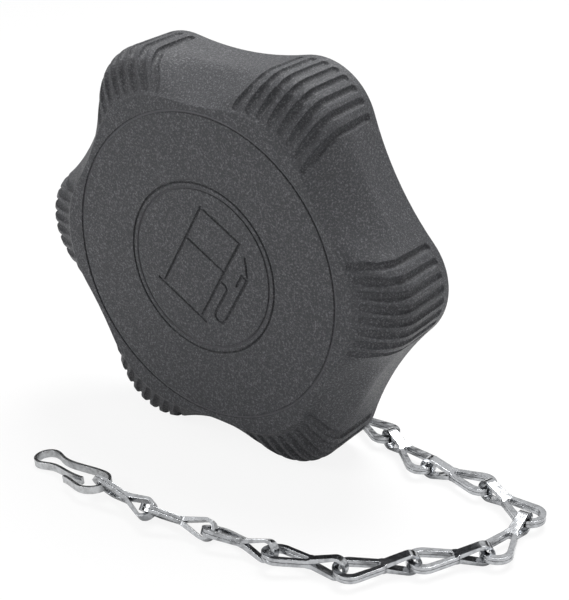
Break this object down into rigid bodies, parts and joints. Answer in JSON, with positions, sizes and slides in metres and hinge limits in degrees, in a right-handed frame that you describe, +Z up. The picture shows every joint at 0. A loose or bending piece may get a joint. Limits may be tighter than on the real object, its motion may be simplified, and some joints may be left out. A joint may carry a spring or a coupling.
{
  "type": "fuel filler cap",
  "caption": "Six-lobed hand-grip fuel filler cap with grooved lobes, gasket and bayonet cup, and a folded-strip tether chain ending in a snap hook.",
  "frame": {"origin": "on the cap axis in the seal plane, where the gasket meets the rim of the filler neck", "axes": "+Y along the cap axis into the tank, so the face looks to -Y; +Z up as the cap stands on two lobes; +X to the right seen from the front"},
  "size_m": [0.1621, 0.0872, 0.114],
  "materials": {
    "shell_plastic": "fine grained black moulding",
    "seal_rubber": "smooth black rubber",
    "valve_rubber": "smooth black rubber",
    "cup_steel": "zinc plated pressing",
    "screw_steel": "zinc plated",
    "eye_steel": "bright zinc plated",
    "washer_steel": "bright zinc plated",
    "chain_steel": "bright nickel plated strip",
    "hook_steel": "bright nickel plated spring strip"
  },
  "bodies": {
    "cap": {"cap_shell": "shell_plastic", "sealing_gasket": "seal_rubber", "bayonet_cup": "cup_steel", "cup_screw_1": "screw_steel", "cup_screw_2": "screw_steel", "cup_screw_3": "screw_steel", "vent_umbrella": "valve_rubber"},
    "swivel": {"swivel_eye": "eye_steel", "swivel_washer": "washer_steel"},
    "link_01": {"link_01": "chain_steel"},
    "link_02": {"link_02": "chain_steel"},
    "link_03": {"link_03": "chain_steel"},
    "link_04": {"link_04": "chain_steel"},
    "link_05": {"link_05": "chain_steel"},
    "link_06": {"link_06": "chain_steel"},
    "link_07": {"link_07": "chain_steel"},
    "link_08": {"link_08": "chain_steel"},
    "link_09": {"link_09": "chain_steel"},
    "link_10": {"link_10": "chain_steel"},
    "link_11": {"link_11": "chain_steel"},
    "link_12": {"link_12": "chain_steel"},
    "link_13": {"link_13": "chain_steel"},
    "link_14": {"link_14": "chain_steel"},
    "hook": {"snap_hook": "hook_steel"}
  },
  "joints": [
    {"name": "swivel_turn", "type": "hinge", "parent": "cap", "child": "swivel", "pos_m": [0, 0.0157, 0], "axis": [0, 1, 0], "continuous": true},
    {"name": "link_01_hinge", "type": "hinge", "parent": "swivel", "child": "link_01", "pos_m": [0, 0.0261, -0.0042], "axis": [0, 1, 0], "range_deg": [-60, 60]},
    {"name": "link_02_hinge", "type": "hinge", "parent": "link_01", "child": "link_02", "pos_m": [0.0043, 0.0259, -0.0227], "axis": [-0.1392, -0.9903, 0], "range_deg": [-60, 25]},
    {"name": "link_03_hinge", "type": "hinge", "parent": "link_02", "child": "link_03", "pos_m": [0.01181, 0.02464, -0.04011], "axis": [0.2164, 0.9763, 0], "range_deg": [-15, 60]},
    {"name": "link_04_hinge", "type": "hinge", "parent": "link_03", "child": "link_04", "pos_m": [0.02441, 0.02165, -0.054], "axis": [-0.2504, -0.9681, 0], "range_deg": [-60, 25]},
    {"name": "link_05_hinge", "type": "hinge", "parent": "link_04", "child": "link_05", "pos_m": [0.0426, 0.0163, -0.054], "axis": [0.4147, 0.91, 0], "range_deg": [-45, 60]},
    {"name": "link_06_hinge", "type": "hinge", "parent": "link_05", "child": "link_06", "pos_m": [0.06021, 0.00992, -0.054], "axis": [0, -1, 0], "range_deg": [-60, 60]},
    {"name": "link_07_hinge", "type": "hinge", "parent": "link_06", "child": "link_07", "pos_m": [0.07904, 0.00881, -0.054], "axis": [0.309, 0.9511, 0], "range_deg": [-60, 60]},
    {"name": "link_08_hinge", "type": "hinge", "parent": "link_07", "child": "link_08", "pos_m": [0.09387, 0.00045, -0.054], "axis": [-0.9986, -0.0523, 0], "range_deg": [-60, 50]},
    {"name": "link_09_hinge", "type": "hinge", "parent": "link_08", "child": "link_09", "pos_m": [0.0922, -0.01754, -0.054], "axis": [0.7254, -0.6884, 0], "range_deg": [-40, 60]},
    {"name": "link_10_hinge", "type": "hinge", "parent": "link_09", "child": "link_10", "pos_m": [0.07919, -0.03139, -0.054], "axis": [-0.7431, 0.6691, 0], "range_deg": [-60, 45]},
    {"name": "link_11_hinge", "type": "hinge", "parent": "link_10", "child": "link_11", "pos_m": [0.06543, -0.04382, -0.05377], "axis": [0.2744, -0.9458, 0.1736], "range_deg": [-50, 60]},
    {"name": "link_12_hinge", "type": "hinge", "parent": "link_11", "child": "link_12", "pos_m": [0.04703, -0.04826, -0.05358], "axis": [-0.0395, 0.8902, -0.4539], "range_deg": [-60, 40]},
    {"name": "link_13_hinge", "type": "hinge", "parent": "link_12", "child": "link_13", "pos_m": [0.02811, -0.04966, -0.05367], "axis": [0.1544, -0.7038, 0.6934], "range_deg": [-30, 60]},
    {"name": "link_14_hinge", "type": "hinge", "parent": "link_13", "child": "link_14", "pos_m": [0.00934, -0.0521, -0.05303], "axis": [0.0241, 0.5153, -0.8566], "range_deg": [-60, 45]},
    {"name": "hook_turn", "type": "hinge", "parent": "link_14", "child": "hook", "pos_m": [-0.00664, -0.0505, -0.05264], "axis": [-0.108, 0, 0.9942], "range_deg": [-20, 8]}
  ]
}
